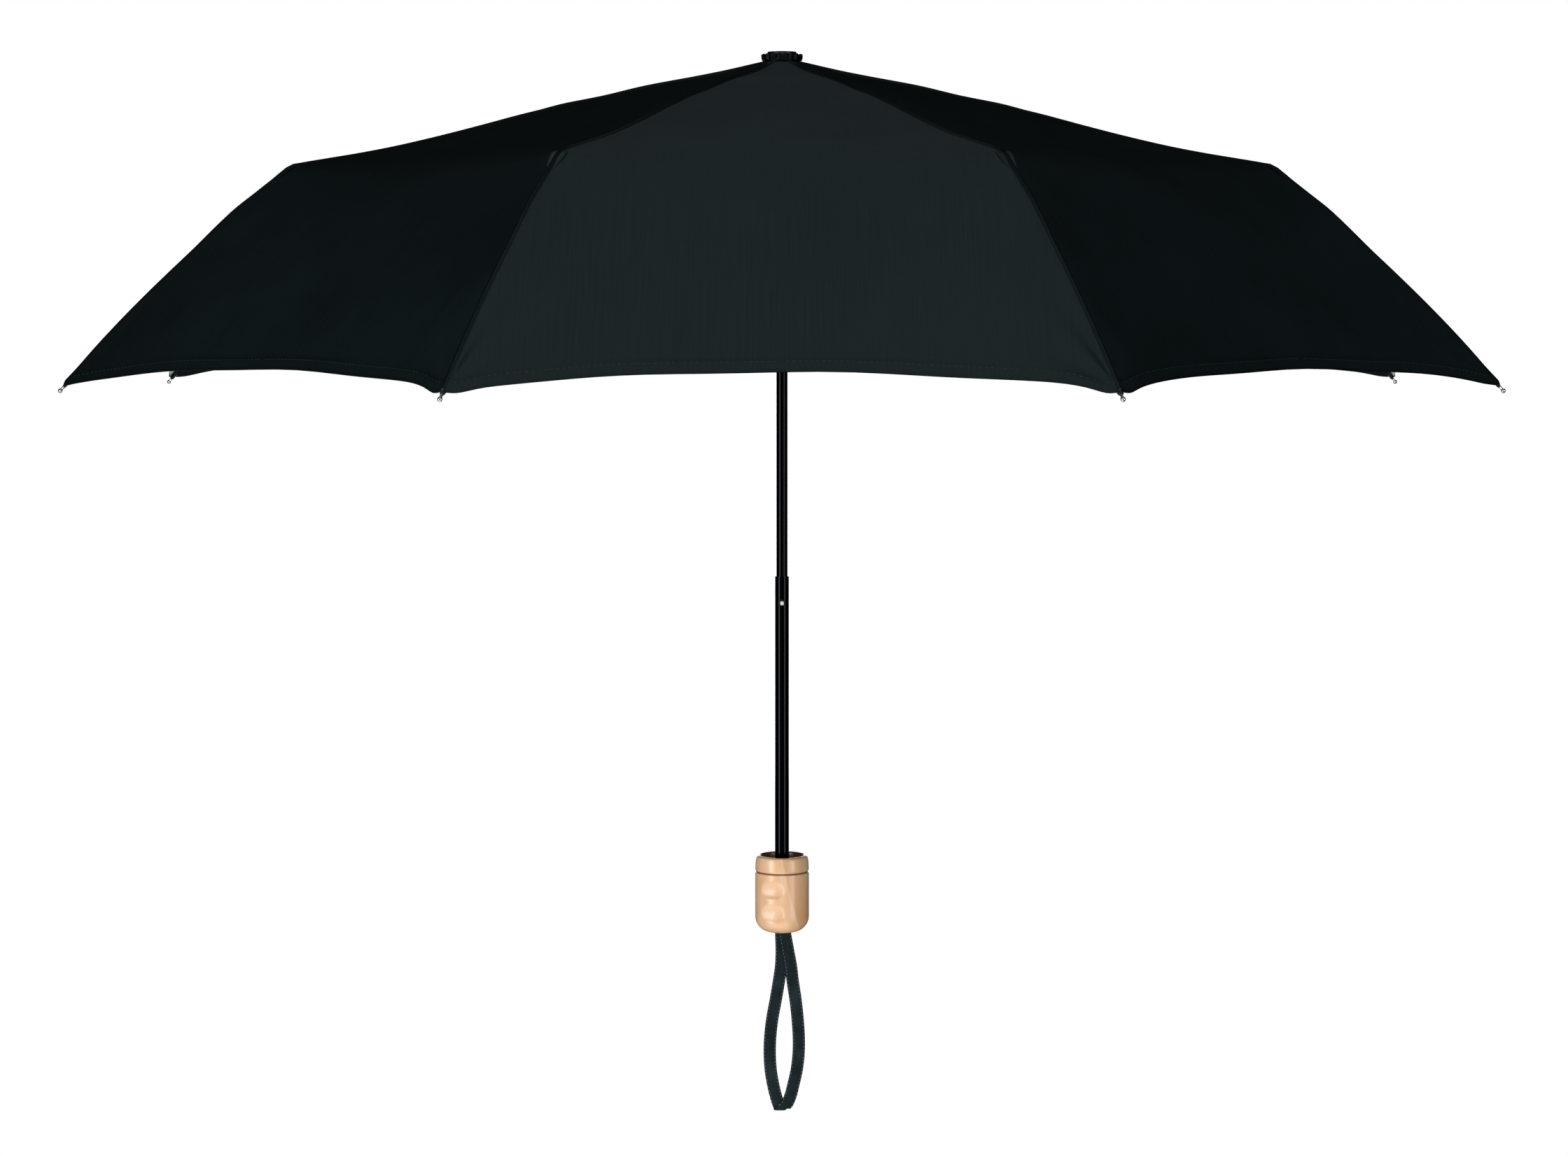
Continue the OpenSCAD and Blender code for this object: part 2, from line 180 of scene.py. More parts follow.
def loft(name, rings, material, marks=None, uv=None):
    """A closed solid through rings of as many points each, with a fan over each end."""
    rings = np.asarray(rings)
    count, around = rings.shape[:2]
    index = np.arange(count * around).reshape(count, around)
    a, b = index[:-1], np.roll(index[:-1], -1, axis=1)
    c, d = np.roll(index[1:], -1, axis=1), index[1:]
    faces = [tuple(f) for f in np.stack([a, b, c, d], axis=-1).reshape(-1, 4)]
    first, last = count * around, count * around + 1
    faces += [(first, index[0, (i + 1) % around], index[0, i]) for i in range(around)]
    faces += [(last, index[-1, i], index[-1, (i + 1) % around]) for i in range(around)]
    points = np.concatenate([rings.reshape(-1, 3), rings[0].mean(0)[None], rings[-1].mean(0)[None]])
    with_fans = {}
    for mark, values in (marks or {}).items():
        values = np.ravel(values)
        with_fans[mark] = np.concatenate([values, [values[0], values[-1]]])
    if uv is not None:
        uv = np.concatenate([uv.reshape(-1, 2), uv[0].mean(0)[None], uv[-1].mean(0)[None]])
    return make_object(name, points, faces, material, uv=uv, marks=with_fans)


# Each ring of a stitch: its share of the way along, and how wide and how high it is.
STITCH_RINGS = ((0, 0.3, -0.3), (0.18, 1, 0.8), (0.5, 1.1, 1), (0.82, 1, 0.8), (1, 0.3, -0.3))


def stitches(name, starts, ends, normals, material, width=0.35 * MM, height=0.14 * MM):
    """Short raised dashes of thread, from each start to its end."""
    starts, ends, normals = (np.asarray(x, float) for x in (starts, ends, normals))
    along = ends - starts
    across = unit(np.cross(normals, along)) * width / 2
    points = []
    for share, wide, high in STITCH_RINGS:
        middle = starts + along * share
        lift = normals * height
        points.append(np.stack([
            middle - across * wide - lift * 0.4,
            middle - across * 0.6 * wide + lift * high,
            middle + across * 0.6 * wide + lift * high,
            middle + across * wide - lift * 0.4], axis=1))
    points = np.stack(points, axis=1)
    count = len(STITCH_RINGS) * 4
    base = np.arange(count).reshape(-1, 4)
    a, b = base[:-1], np.roll(base[:-1], -1, axis=1)
    c, d = np.roll(base[1:], -1, axis=1), base[1:]
    one = np.concatenate([np.stack([a, d, c, b], axis=-1).reshape(-1, 4), base[:1], base[-1:, ::-1]])
    faces = np.concatenate([one + count * i for i in range(len(starts))])
    return make_object(name, points.reshape(-1, 3), faces, material)


# ---------- materials ----------


def linear(*rgb):
    """A linear colour from 0..255 display values."""
    return (*[(c / 255) ** 2.2 for c in rgb], 1.0)


class Finish:
    """A procedural material, built node by node on a Principled shader."""

    def __init__(self, name, **values):
        self.material = bpy.data.materials.new(name)
        self.material.use_nodes = True
        self.tree = self.material.node_tree
        self.shader = self.tree.nodes["Principled BSDF"]
        for socket, value in values.items():
            self.shader.inputs[socket.replace("_", " ")].default_value = value

    def node(self, kind, inputs=None, out=0, **settings):
        """Adds a node, sets or links its inputs, and gives back one of its outputs."""
        made = self.tree.nodes.new("ShaderNode" + kind)
        for setting, value in settings.items():
            setattr(made, setting, value)
        for key, value in (inputs or {}).items():
            if isinstance(value, bpy.types.NodeSocket):
                self.tree.links.new(value, made.inputs[key])
            else:
                made.inputs[key].default_value = value
        return made.outputs[out]

    def place(self, scale=(1, 1, 1)):
        """The object's own coordinates in metres, stretched."""
        return self.node("Mapping", {"Vector": self.node("TexCoord", out="Object"), "Scale": scale})

    def cloth_place(self, scale):
        """Metres along the cloth and across it, stretched."""
        return self.node("Mapping", {"Vector": self.node("UVMap", uv_map="cloth"), "Scale": scale})

    def noise(self, vector, scale, detail=3.0, rough=0.5):
        """Soft random patches from 0 to 1."""
        settings = {"Vector": vector, "Scale": scale, "Detail": detail, "Roughness": rough}
        return self.node("TexNoise", settings)

    def math(self, kind, a, b=0.0, c=0.0):
        """Arithmetic on values."""
        return self.node("Math", {0: a, 1: b, 2: c}, operation=kind)

    def ramp(self, value, low, high, to_low=0.0, to_high=1.0):
        """A soft step from to_low, where the value is low, to to_high."""
        names = {"Value": value, "From Min": low, "From Max": high, "To Min": to_low, "To Max": to_high}
        return self.node("MapRange", names, interpolation_type="SMOOTHSTEP")

    def mix(self, share, a, b):
        """From colour a to colour b."""
        return self.node("Mix", {0: share, 6: a, 7: b}, out=2, data_type="RGBA")

    def mark(self, name):
        """A value stored on the mesh's points."""
        return self.node("Attribute", attribute_name=name, out="Fac")

    def set(self, **links):
        """Links values to the shader's own inputs."""
        for socket, value in links.items():
            self.tree.links.new(value, self.shader.inputs[socket.replace("_", " ")])
        return self

    def bump(self, height, distance, strength=1.0):
        """Adds a bump of that height in metres on top of those before it."""
        names = {"Height": height, "Distance": distance, "Strength": strength}
        before = self.shader.inputs["Normal"].links
        if before:
            names["Normal"] = before[0].from_socket
        self.tree.links.new(self.node("Bump", names, out="Normal"), self.shader.inputs["Normal"])
        return self


def cloth_finish():
    """Tightly woven polyester: silky across its weft, near black away from the light."""
    f = Finish("canopy_cloth", Roughness=0.5, Anisotropic=1.0, Specular_IOR_Level=0.28,
               Specular_Tint=(0.72, 1.0, 1.06, 1))
    f.set(Tangent=f.node("Tangent", direction_type="UV_MAP", uv_map="cloth"))
    patches = f.noise(f.place(), 9, 4, 0.6)
    slubs = f.noise(f.cloth_place((14, 900, 1)), 1.0, 2)
    picks = f.noise(f.cloth_place((900, 14, 1)), 1.0, 2)
    shade = f.ramp(f.math("ADD", patches, f.math("MULTIPLY", slubs, 0.6)), 0.55, 1.05)
    colour = f.mix(shade, linear(22, 28, 30), linear(28, 36, 38))
    # The mark read here darkens the seam lines along the ribs and the hem; on the rosette it is painted
    # shade.
    seam = f.mark("seam")
    f.set(Base_Color=f.mix(seam, colour, linear(7, 9, 10)))
    f.set(Roughness=f.ramp(patches, 0.3, 0.7, 0.46, 0.54))
    weave = f.math("ADD", slubs, picks)
    f.bump(weave, 0.00005, 0.5)
    f.bump(f.noise(f.place(), 45, 3, 0.5), 0.0004, 0.25)
    return f.material


def webbing_finish():
    """Flat woven strap with fine ribs across it."""
    f = Finish("webbing", Roughness=0.66, Specular_IOR_Level=0.12)
    ribs = f.node("TexWave", {"Vector": f.cloth_place((1, 1, 1)), "Scale": 620.0, "Distortion": 0.6},
                  bands_direction="X")
    fuzz = f.noise(f.place(), 1800, 3)
    patches = f.noise(f.place(), 70, 4, 0.6)
    colour = f.mix(f.ramp(patches, 0.3, 0.72), linear(18, 27, 30), linear(30, 43, 46))
    f.set(Base_Color=f.mix(f.math("MULTIPLY", f.mark("seam"), 0.75), colour, linear(10, 13, 15)))
    f.bump(ribs, 0.00008, 0.5).bump(fuzz, 0.00005, 0.4)
    return f.material


def thread_finish(name, light, dark):
    """Sewing thread, with its twist."""
    f = Finish(name, Roughness=0.55, Specular_IOR_Level=0.4)
    twist = f.noise(f.place(), 2600, 2)
    f.set(Base_Color=f.mix(f.ramp(twist, 0.3, 0.7), dark, light))
    return f.bump(twist, 0.00008, 0.6).material


def wood_finish():
    """Lacquered pale beech: fine upright grain, two slanted growth lines and a greyer side, with painted
    shade in its hollows.
    """
    f = Finish("wood", Roughness=0.34, Specular_IOR_Level=0.45, Coat_Weight=0.5, Coat_Roughness=0.24)
    place = f.node("TexCoord", out="Object")
    parts = f.node("SeparateXYZ", {0: place}).node.outputs
    wander = f.noise(f.place((1, 1, 0.5)), 42, 1, 0.4)
    drift = f.math("MULTIPLY_ADD", wander, 0.003, -0.0015)
    # ring is 0 on the first growth line and counts metres to its right; the second line is 7 mm to its left.
    slant = f.math("MULTIPLY_ADD", parts["Z"], 0.228, -0.0055)
    ring = f.math("ADD", f.math("ADD", parts["X"], slant), drift)
    beyond = f.ramp(ring, -0.0006, 0.0004)
    line = f.math("MULTIPLY", f.ramp(ring, -0.0008, 0.0), f.ramp(ring, 0.0009, 0.0001))
    bands = f.math("SINE", f.math("MULTIPLY", ring, 2600.0))
    early = f.ramp(bands, 0.55, 1.0)
    fibre = f.noise(f.place((1, 1, 0.03)), 1500, 4, 0.6)
    cloud = f.noise(f.place((1, 1, 0.3)), 95, 3, 0.5)
    pale = f.mix(f.ramp(cloud, 0.3, 0.7), linear(225, 178, 136), linear(231, 193, 157))
    dark = f.mix(f.ramp(cloud, 0.3, 0.7), linear(209, 161, 119), linear(217, 173, 132))
    wood = f.mix(beyond, pale, dark)
    wood = f.mix(f.math("MULTIPLY", early, 0.07), wood, linear(196, 146, 100))
    wood = f.mix(f.math("MULTIPLY", line, 0.6), wood, linear(224, 196, 154))
    second = f.math("MULTIPLY", f.ramp(ring, -0.0078, -0.007), f.ramp(ring, -0.0062, -0.0069))
    second = f.math("MULTIPLY", second, f.ramp(parts["Z"], -0.003, -0.012, 0.0, 0.45))
    wood = f.mix(second, wood, linear(226, 200, 160))
    side_slant = f.math("MULTIPLY_ADD", parts["Z"], 0.16, -0.0168)
    side = f.math("ADD", side_slant, f.math("ADD", parts["X"], drift))
    wood = f.mix(f.ramp(side, -0.0003, 0.0005, 0.0, 0.7), wood, linear(203, 187, 152))
    wood = f.mix(f.ramp(fibre, 0.52, 0.75, 0.0, 0.3), wood, linear(176, 128, 86))
    # Painted shade: red-brown darkening over the cup's inside, round the rim's inner edge, in the groove and
    # in the slot.
    f.set(Base_Color=f.mix(f.mark("painted_shade"), wood, linear(96, 44, 28)))
    f.set(Roughness=f.ramp(fibre, 0.3, 0.7, 0.3, 0.4))
    return f.bump(fibre, 0.00006, 0.35).material


def lacquer_finish():
    """Gloss black lacquer over drawn steel tube."""
    f = Finish("tube_black", Specular_IOR_Level=0.09)
    drawn = f.noise(f.place((1, 1, 0.02)), 700, 2)
    dust = f.noise(f.place(), 160, 3, 0.6)
    f.set(Roughness=f.ramp(dust, 0.3, 0.7, 0.13, 0.17))
    f.set(Base_Color=f.mix(f.ramp(drawn, 0.3, 0.7), linear(3, 5, 8), linear(6, 9, 13)))
    return f.bump(drawn, 0.000002, 0.3).material


def metal_finish(name, pale, dark, rough, weight=1.0):
    """Metal with faint tool marks."""
    f = Finish(name, Metallic=weight)
    marks = f.noise(f.place(), 1700, 4, 0.6)
    patches = f.noise(f.place(), 160, 3, 0.6)
    f.set(Base_Color=f.mix(f.ramp(patches, 0.3, 0.7), dark, pale))
    f.set(Roughness=f.ramp(patches, 0.3, 0.7, rough * 0.8, rough * 1.25))
    return f.bump(marks, 0.00003, 0.4).material


def plastic_finish(name, colour, rough):
    """Moulded nylon with a fine spark-eroded grain."""
    f = Finish(name, Specular_IOR_Level=0.5)
    grain = f.noise(f.place(), 3200, 3, 0.6)
    patches = f.noise(f.place(), 130, 3)
    f.set(Base_Color=f.mix(f.ramp(patches, 0.3, 0.7), colour, tuple(0.7 * c for c in colour[:3]) + (1,)))
    f.set(Roughness=f.ramp(patches, 0.3, 0.7, rough * 0.85, rough * 1.15))
    return f.bump(grain, 0.00004, 0.5).material


cloth = cloth_finish()
webbing = webbing_finish()
wood = wood_finish()
black_plastic = plastic_finish("black_plastic", linear(24, 26, 29), 0.42)
cloth_thread = thread_finish("cloth_thread", linear(52, 60, 62), linear(30, 36, 38))
strap_thread = thread_finish("strap_thread", linear(98, 118, 121), linear(60, 76, 80))

# ---------- the frame's own parts ----------

NODE_FINISHES = {
    "lower_tube": lacquer_finish(),
    "lower_catch": metal_finish("spring_steel", linear(214, 215, 218), linear(168, 170, 174), 0.24),
    "crown": black_plastic,
    "top_cap": plastic_finish("cap_black", linear(9, 12, 14), 0.36),
    "top_rib": metal_finish("rib_metal", linear(120, 122, 126), linear(86, 88, 92), 0.38, weight=0.85),
    "end_rib": metal_finish("rib_wire", linear(136, 138, 142), linear(98, 100, 104), 0.32, weight=0.9),
    "rib_tip": metal_finish("tip_chrome", linear(226, 228, 230), linear(190, 193, 196), 0.16),
}
SAME_FINISH = {
    "middle_tube": "lower_tube", "upper_tube": "lower_tube", "upper_catch": "lower_catch",
    "runner_catch": "lower_catch", "crown_wire": "lower_catch", "runner_wire": "lower_catch",
    "runner": "crown", "stretcher": "top_rib", "mid_rib": "top_rib",
}
BEVELS = {"crown": 0.3, "runner": 0.35, "top_rib": 0.12, "stretcher": 0.12, "mid_rib": 0.12}

for name, node in frame["nodes"].items():
    kind = name.rstrip("0123456789").rstrip("_")
    finish = NODE_FINISHES.get(SAME_FINISH.get(kind, kind))
    if finish is None:
        continue
    node.data.materials.clear()
    node.data.materials.append(finish)
    if kind in BEVELS:
        bevel = node.modifiers.new("rounded_edges", "BEVEL")
        bevel.width = BEVELS[kind] * MM
        bevel.segments = 2
        bevel.limit_method = "ANGLE"
        bevel.angle_limit = math.radians(40)
        bevel.harden_normals = True

# ---------- wrist strap ----------

STRAP_WIDTH = 8 * MM
STRAP_THICK = 1.25 * MM
STRAP_LAYER = 0.72 * MM                # how far each strand lies before or behind the shaft's middle
FOLD = (-1.4, -142.3)                  # where the strap is folded flat, x and z in mm

# The middle line of each strand, x and z in mm.
STRAP_DOWN = [(-1, -19), (-0.5, -28), (-0.2, -38), (-0.6, -48), (-2, -58), (-4, -70), (-6.2, -82),
              (-7.6, -94), (-8, -105), (-7.4, -116), (-5.8, -126), (-3.9, -134), FOLD]
STRAP_UP = [FOLD, (3.0, -138.8), (5.6, -133), (7.4, -126), (9.6, -116), (10.8, -105), (10.9, -94),
            (10.1, -82), (8.8, -70), (7, -58), (5.8, -48), (4, -38), (2.2, -28), (1, -19)]
STRAP_STITCH, STRAP_PITCH = 1.5 * MM, 2.3 * MM
STITCH_INSET = 0.8 * MM                # from the strap's edge
STITCH_LIFT = 0.52 * MM                # from the strap's middle to under the thread
BARE_END = 7 * MM                      # no thread on what lies in the slot
BARE_FOLD = 3 * MM                     # none on either side of the fold


def strap_route():
    """The strap's middle line, the line across it and its outward face, point by point."""
    down, up = (through(np.array(p) * MM, 8) for p in (STRAP_DOWN, STRAP_UP))
    wave = lambda p, phase: 0.12 * MM * np.sin(p[:, 1] * 190 + phase) * smooth((-0.03 - p[:, 1]) / 0.02)
    strands = []
    for line, layer, way in ((down, STRAP_LAYER, 1), (up, -STRAP_LAYER, -1)):
        ahead = unit(np.gradient(line, axis=0))
        square = way * np.column_stack([-ahead[:, 1], ahead[:, 0]])
        to_fold = np.linalg.norm(line - np.array(FOLD) * MM, axis=1)
        flat = bell(to_fold / (4.4 * MM))[:, None]
        across = unit((1 - flat) * square + flat * np.array([1, 0]))
        middle = np.column_stack([line[:, 0], layer + wave(line, layer * 900), line[:, 1]])
        facing = np.tile([0, way, 0], (len(line), 1))
        strands.append((middle, np.column_stack([across[:, 0], 0 * across[:, 0], across[:, 1]]), facing))
    (m1, a1, n1), (m2, a2, n2) = strands
    turn = np.radians([30, 60, 90, 120, 150])[:, None]
    bent = np.hstack([0 * turn, np.cos(turn), -np.sin(turn)])
    fold = np.array([FOLD[0] * MM, 0, FOLD[1] * MM]) + STRAP_LAYER * bent * [1, 1, 0.3]
    level_line = np.tile([1.0, 0, 0], (len(turn), 1))
    return np.vstack([m1, fold, m2]), np.vstack([a1, level_line, a2]), np.vstack([n1, bent, n2])


def wrist_strap():
    """The webbing with its stitching."""
    middle, across, facing = strap_route()
    along = np.concatenate([[0], np.cumsum(np.linalg.norm(np.diff(middle, axis=0), axis=1))])
    turn = np.linspace(0, 2 * math.pi, 28, endpoint=False)
    wide = np.sign(np.cos(turn)) * np.abs(np.cos(turn)) ** 0.4
    high = np.sign(np.sin(turn)) * np.abs(np.sin(turn)) ** 0.75
    ripple = 1 + 0.03 * np.sin(along * 1900) * smooth((along - 0.1) / 0.01) * smooth((0.124 - along) / 0.01)
    reach = STRAP_WIDTH / 2 * (wide * np.where(wide < 0, ripple[:, None], 1))[..., None]
    thick = STRAP_THICK / 2 * (high * (1 - 0.25 * np.abs(wide) ** 6))[None, :, None]
    rings = middle[:, None] + reach * across[:, None] + thick * facing[:, None]
    uv = np.stack(np.broadcast_arrays(along[:, None], wide * STRAP_WIDTH / 2), axis=-1)
    edge = np.broadcast_to(0.8 * bell((np.abs(wide) - 0.8) / 0.07), rings.shape[:2])
    strap = loft("strap_webbing", rings, webbing, marks={"seam": edge}, uv=uv)
    columns = np.hstack([middle, across, facing]).T
    starts, ends, normals = [], [], []
    fold_at = along[np.argmin(middle[:, 2])]
    for s in np.arange(BARE_END, along[-1] - BARE_END, STRAP_PITCH):
        if abs(s + STRAP_STITCH / 2 - fold_at) < BARE_FOLD:
            continue
        a = np.array([np.interp(s, along, column) for column in columns])
        b = np.array([np.interp(s + STRAP_STITCH, along, column) for column in columns])
        for way in (1, -1):
            for row in (1, -1):
                offset = row * (STRAP_WIDTH / 2 - STITCH_INSET)
                starts.append(a[:3] + offset * a[3:6] + way * STITCH_LIFT * unit(a[6:]))
                ends.append(b[:3] + offset * b[3:6] + way * STITCH_LIFT * unit(b[6:]))
                normals.append(way * unit(a[6:]))
    thread = stitches("strap_threads", starts, ends, normals, strap_thread, 0.42 * MM, 0.2 * MM)
    for piece in (strap, thread):
        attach(piece, "handle_body")
    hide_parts("wrist_strap")


wrist_strap()

# ---------- the ribs' pins ----------

pins = {joint["name"]: Vector(joint["pos_m"]) for joint in frame["joints"] if "pos_m" in joint}
RIBS = range(1, 9)
CHORD = 2 * math.sin(math.pi / 8)      # between two neighbouring ribs, for a radius of 1
TOP_JOINT, MIDDLE_JOINT, EDGE_JOINT = "top_rib_fold_", "mid_rib_fold_", "end_rib_fold_"
TIP_BALL = 1.4 * MM


def azimuth(k):
    """The direction of rib k, counted round and round."""
    pin = pins[f"{MIDDLE_JOINT}{(k - 1) % 8 + 1}"]
    return math.atan2(pin.y, pin.x)


def level(name):
    """Radius and height of a pin."""
    pin = pins[name + "1"]
    return np.array([math.hypot(pin.x, pin.y), pin.z])


crown_pin, knee, elbow = level(TOP_JOINT), level(MIDDLE_JOINT), level(EDGE_JOINT)
ball_low, ball_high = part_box("rib_tip_3")
tip = np.array([(ball_high[0] - TIP_BALL) / math.cos(azimuth(3)), ball_low[2] + TIP_BALL])

# ---------- canopy ----------

CENTRE_R = 3.2 * MM                    # the hole for the cap's stem
CENTRE_END = 16 * MM                   # where the ribs' own pieces of cloth start
CLOTH = 0.35 * MM
HEM = 6 * MM
HEM_EXTRA = 0.5 * MM                   # how much thicker the folded hem is
HEM_ARCH = 10.5 * MM                   # how far the hem draws in between two ribs
HEM_FLARE = 2.5 * MM                   # how far it reaches out again beside a tip
HEM_STITCHES = 5 * MM                  # from the hem's edge to its stitching
SAG = 3 * MM                           # how far the cloth hangs in between two ribs
hem_r = tip[0] - 3 * MM

# How far above the straight line between two pins the cloth's outer face lies, in mm,
# each with its share of the way from pin to pin.
TOP_LIFT = [(0.03, 3.9), (0.2, 3.4), (0.35, 3.6), (0.55, 4.2), (0.73, 3.4), (0.9, 3.6), (1, 2.8)]
MIDDLE_LIFT = [(0.1, 2.7), (0.25, 2.1), (0.42, 1.7), (0.6, 1.9), (0.75, 2.9), (0.88, 4.3), (1, 5.6)]
EDGE_LIFT = [(0.05, 10.1), (0.12, 11.1), (0.2, 12.4), (0.28, 13.7), (0.36, 13.3), (0.45, 12.2), (0.55, 11.6),
             (0.65, 10.7), (0.75, 9.2), (0.85, 6.9), (0.93, 4.3), (0.98, 3.2)]


def rib_profile():
    """The cloth's outer face over a rib: heights at every millimetre of radius, past the hem."""
    line = [(CENTRE_R, crown_pin[1] + 3.2 * MM), (8 * MM, crown_pin[1] + 3.2 * MM)]
    stretches = ((crown_pin, knee, TOP_LIFT), (knee, elbow, MIDDLE_LIFT), (elbow, tip, EDGE_LIFT))
    for start, end, lifts in stretches:
        line += [tuple(start + share * (end - start) + [0, lift * MM]) for share, lift in lifts]
    line = through(line)
    slope = (line[-1] - line[-9]) / (line[-1, 0] - line[-9, 0])
    line = np.vstack([line, line[-1] + slope * 150 * MM])
    radii = np.arange(0, 560) * MM
    return radii, np.interp(radii, line[:, 0], line[:, 1])


profile_r, profile_z = rib_profile()


def softened(heights, width=21.0):
    """The same profile without its bends: where the cloth hangs free between two ribs."""
    reach = 80
    mirrored = np.concatenate([heights[reach:0:-1], heights])
    ahead = heights[-1] + (heights[-1] - heights[-2]) * np.arange(1, reach + 1)
    weights = bell(np.arange(-reach, reach + 1) / (width * math.sqrt(2)))
    return np.convolve(np.concatenate([mirrored, ahead]), weights / weights.sum(), "valid")


soft_z = softened(profile_z)
unevenness = rng.uniform(0, 2 * math.pi, (8, 4))


def hem_radius(f):
    """Where the panel ends; f runs from 0 at its first rib to 1 at its next."""
    near = np.minimum(f, 1 - f) * CHORD * hem_r / (6 * MM)
    return hem_r - HEM_ARCH * 4 * f * (1 - f) + HEM_FLARE * near * np.exp(1 - near)


def canopy_point(rho, f, panel):
    """The cloth's outer face on the panel after rib number panel; rho and f as above."""
    rho, f = np.broadcast_arrays(np.asarray(rho, float), np.asarray(f, float))
    first, after = azimuth(panel), azimuth(panel + 1)
    x = rho * ((1 - f) * math.cos(first) + f * math.cos(after))
    y = rho * ((1 - f) * math.sin(first) + f * math.sin(after))
    between = np.clip(4 * f * (1 - f), 0, 1) ** 0.75 * smooth((rho - CENTRE_END) / (40 * MM))
    z = (1 - between) * np.interp(rho, profile_r, profile_z) + between * np.interp(rho, profile_r, soft_z)
    z = z - SAG * between
    near = np.minimum(f, 1 - f)
    beside = near * CHORD * rho
    away = hem_r - rho
    seam = 0.45 * bell(beside / (1.3 * MM)) - 0.25 * bell((beside - 2.4 * MM) / (0.9 * MM))
    phase = unevenness[(panel - 1) % 8]
    corner = np.hypot(away, beside)
    angle = np.arctan2(beside, away)
    turn = np.where(f < 0.5, phase[0], phase[1])
    pucker = np.exp(-corner / (50 * MM)) * np.sin(8 * angle + turn) * smooth(beside / (6 * MM))
    pucker = pucker * smooth(corner / (18 * MM)) * smooth((0.5 - near) / 0.2)
    ripple = np.sin(6 * math.pi * f + phase[2]) * np.exp(-np.abs(away) / (40 * MM)) * smooth(near / 0.1)
    z = z + (seam + 0.8 * pucker + 0.5 * ripple) * MM
    return np.stack([x, y, z], axis=-1)


def canopy_normal(rho, f, panel):
    """The outward direction, from the panel's own side of the rib."""
    step, turn = 0.3 * MM, 0.0012
    along = canopy_point(rho + step, f, panel) - canopy_point(rho - step, f, panel)
    after, before = np.minimum(f + turn, 1), np.maximum(f - turn, 0)
    across = canopy_point(rho, after, panel) - canopy_point(rho, before, panel)
    return unit(np.cross(along, across))


# Columns from the rib, 0, to the panel's middle, 1, close together beside the seam.
COLUMNS = np.array([0, 0.004, 0.009, 0.015, 0.023, 0.033, 0.045, 0.06, 0.078, 0.1, 0.125, 0.155, 0.19, 0.23,
                    0.275, 0.325, 0.38, 0.44, 0.51, 0.59, 0.68, 0.78, 0.89, 1])
along_rib = np.concatenate([[0], np.cumsum(np.hypot(np.diff(profile_r), np.diff(profile_z)))])


def pin_line(radius, near):
    """The line from rib to rib at a pin, bowed outwards, where the cloth bends when the ribs fold."""
    return radius / (1 - 0.18 * near)


def half_panel(name, k, side, start, end, rows, crowded=1.0):
    """One closed sheet of cloth beside rib k, between two lines across it. side is 1 or -1."""
    near = COLUMNS / 2
    share = (1 - (1 - np.linspace(0, 1, rows)) ** crowded)[:, None]
    rho = start(near) + share * (end(near) - start(near))
    f = np.broadcast_to(near if side > 0 else 1 - near, rho.shape)
    panel = k if side > 0 else k - 1
    outer = canopy_point(rho, f, panel)
    normals = canopy_normal(rho, f, panel)
    # Both long edges stay in the plane that they share with the next sheet.
    inward = -normals
    for column, angle in ((0, azimuth(k)), (-1, azimuth(k) + side * math.pi / 8)):
        sideways = directions(angle)[1]
        inward[:, column] -= (inward[:, column] @ sideways)[:, None] * sideways
    from_hem = hem_radius(f) - rho
    thick = CLOTH + HEM_EXTRA * smooth((HEM - from_hem) / (0.6 * MM) + 0.5)
    inner = outer + inward * thick[..., None]
    beside = near[None, :] * CHORD * rho
    seam = 0.9 * bell(beside / (1.2 * MM)) + 0.35 * bell((from_hem - HEM) / (0.7 * MM))
    seam = seam + 0.5 * bell(from_hem / (0.8 * MM))
    length = np.interp(rho, profile_r, along_rib)
    uv = np.stack([length, (f - 0.5) * CHORD * rho], axis=-1)
    piece = shell(name, outer, inner, cloth, flip=side < 0, normals=normals, uv=uv,
                  marks={"seam": np.clip(seam, 0, 1)})
    return piece, outer


def flat_size(outer):
    """What a piece of cloth was cut to: width, length and area."""
    width = max(np.linalg.norm(np.diff(row, axis=0), axis=1).sum() for row in outer)
    length = max(np.linalg.norm(np.diff(column, axis=0), axis=1).sum() for column in outer.swapaxes(0, 1))
    u = outer[1:, 1:] - outer[:-1, :-1]
    v = outer[1:, :-1] - outer[:-1, 1:]
    area = np.linalg.norm(np.cross(u, v), axis=-1).sum() / 2
    return (float(width), float(length)), float(area)


def fold_away(piece):
    """Gives a piece of cloth a mesh of its own."""
    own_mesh(piece)


ZONES = {
    "top": dict(body="top_rib_body_", pins=(crown_pin, knee), rows=26, crowded=1.0, tilt=0.02, keep=0.09,
                lines=(lambda near: CENTRE_END + 0 * near, lambda near: pin_line(knee[0], near))),
    "middle": dict(body="mid_rib_body_", pins=(knee, elbow), rows=32, crowded=1.0, tilt=-0.05, keep=0.04,
                   lines=(lambda near: pin_line(knee[0], near), lambda near: pin_line(elbow[0], near))),
    "edge": dict(body="end_rib_body_", pins=(elbow, tip), rows=44, crowded=1.35, tilt=0.09, keep=0.07,
                 lines=(lambda near: pin_line(elbow[0], near), lambda near: hem_radius(near))),
}


def gather(piece, zone, k):
    """Makes a piece of cloth, or something sewn on it, ride on its rib and fold away with it."""
    facts = ZONES[zone]
    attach(piece, f"{facts['body']}{k}")
    fold_away(piece)


